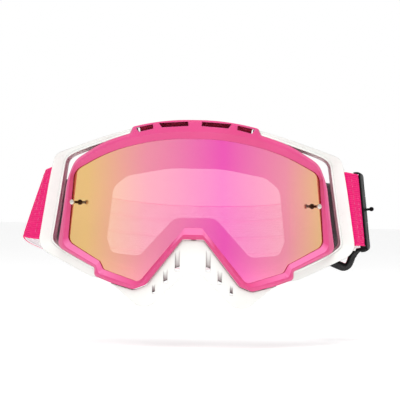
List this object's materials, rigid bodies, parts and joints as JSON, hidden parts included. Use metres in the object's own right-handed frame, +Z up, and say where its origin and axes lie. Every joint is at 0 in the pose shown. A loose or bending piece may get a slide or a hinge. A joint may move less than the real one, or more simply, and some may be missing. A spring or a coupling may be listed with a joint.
{
  "type": "motorcycle goggles",
  "caption": "Motocross goggles: soft frame with curved mirror lens, side outriggers, clip-on nose guard, layered face foam and an elastic head strap with slider.",
  "frame": {"origin": "symmetry plane, height of the tear-off posts, rear face of the face foam", "axes": "+Z up, +Y back towards the wearer's face, lens faces -Y"},
  "size_m": [0.2076, 0.2051, 0.1011],
  "materials": {
    "frame_pink": "soft satin moulded polyurethane",
    "plastic_white": "satin moulded polyurethane",
    "lens_mirror": "gold to magenta mirror coating on tinted polycarbonate",
    "post_metal": "polished",
    "retainer_clear": "clear gloss",
    "foam_dark": "open-cell polyurethane foam",
    "fleece_dark": "brushed fleece",
    "foam_vent": "thin open-cell filter foam",
    "webbing_pink": "woven elastic",
    "webbing_black": "woven elastic",
    "silicone_grip": "clear silicone bead",
    "buckle_black": "moulded acetal",
    "pin_steel": "ground"
  },
  "bodies": {
    "goggles": {"front_frame": "frame_pink", "outrigger_left": "plastic_white", "outrigger_right": "plastic_white", "lens": "lens_mirror", "tear_off_post_left": "post_metal", "tear_off_post_right": "post_metal", "post_retainer_left": "retainer_clear", "post_retainer_right": "retainer_clear", "foam_base": "foam_dark", "foam_middle": "foam_dark", "foam_fleece": "fleece_dark", "vent_foam_top": "foam_vent", "vent_foam_lower_left": "foam_vent", "vent_foam_lower_right": "foam_vent", "strap": "webbing_pink", "strap_grip_lines": "silicone_grip"},
    "nose_guard": {"nose_guard": "plastic_white"},
    "buckle": {"slider_buckle": "buckle_black", "buckle_pin": "pin_steel", "strap_tail": "webbing_black"},
    "gate": {"buckle_gate": "buckle_black"}
  },
  "joints": [
    {"name": "nose_guard_pull", "type": "slide", "parent": "goggles", "child": "nose_guard", "axis": [0, 0, -1], "range_m": [0, 0.015]},
    {"name": "buckle_slide", "type": "slide", "parent": "goggles", "child": "buckle", "axis": [0.1045, 0.9945, 0], "range_m": [0, 0.013]},
    {"name": "gate_hinge", "type": "hinge", "parent": "buckle", "child": "gate", "pos_m": [0.09703, 0.04994, 0.00026], "axis": [-0.1142, 0.012, 0.9934], "range_deg": [0, 65]}
  ]
}
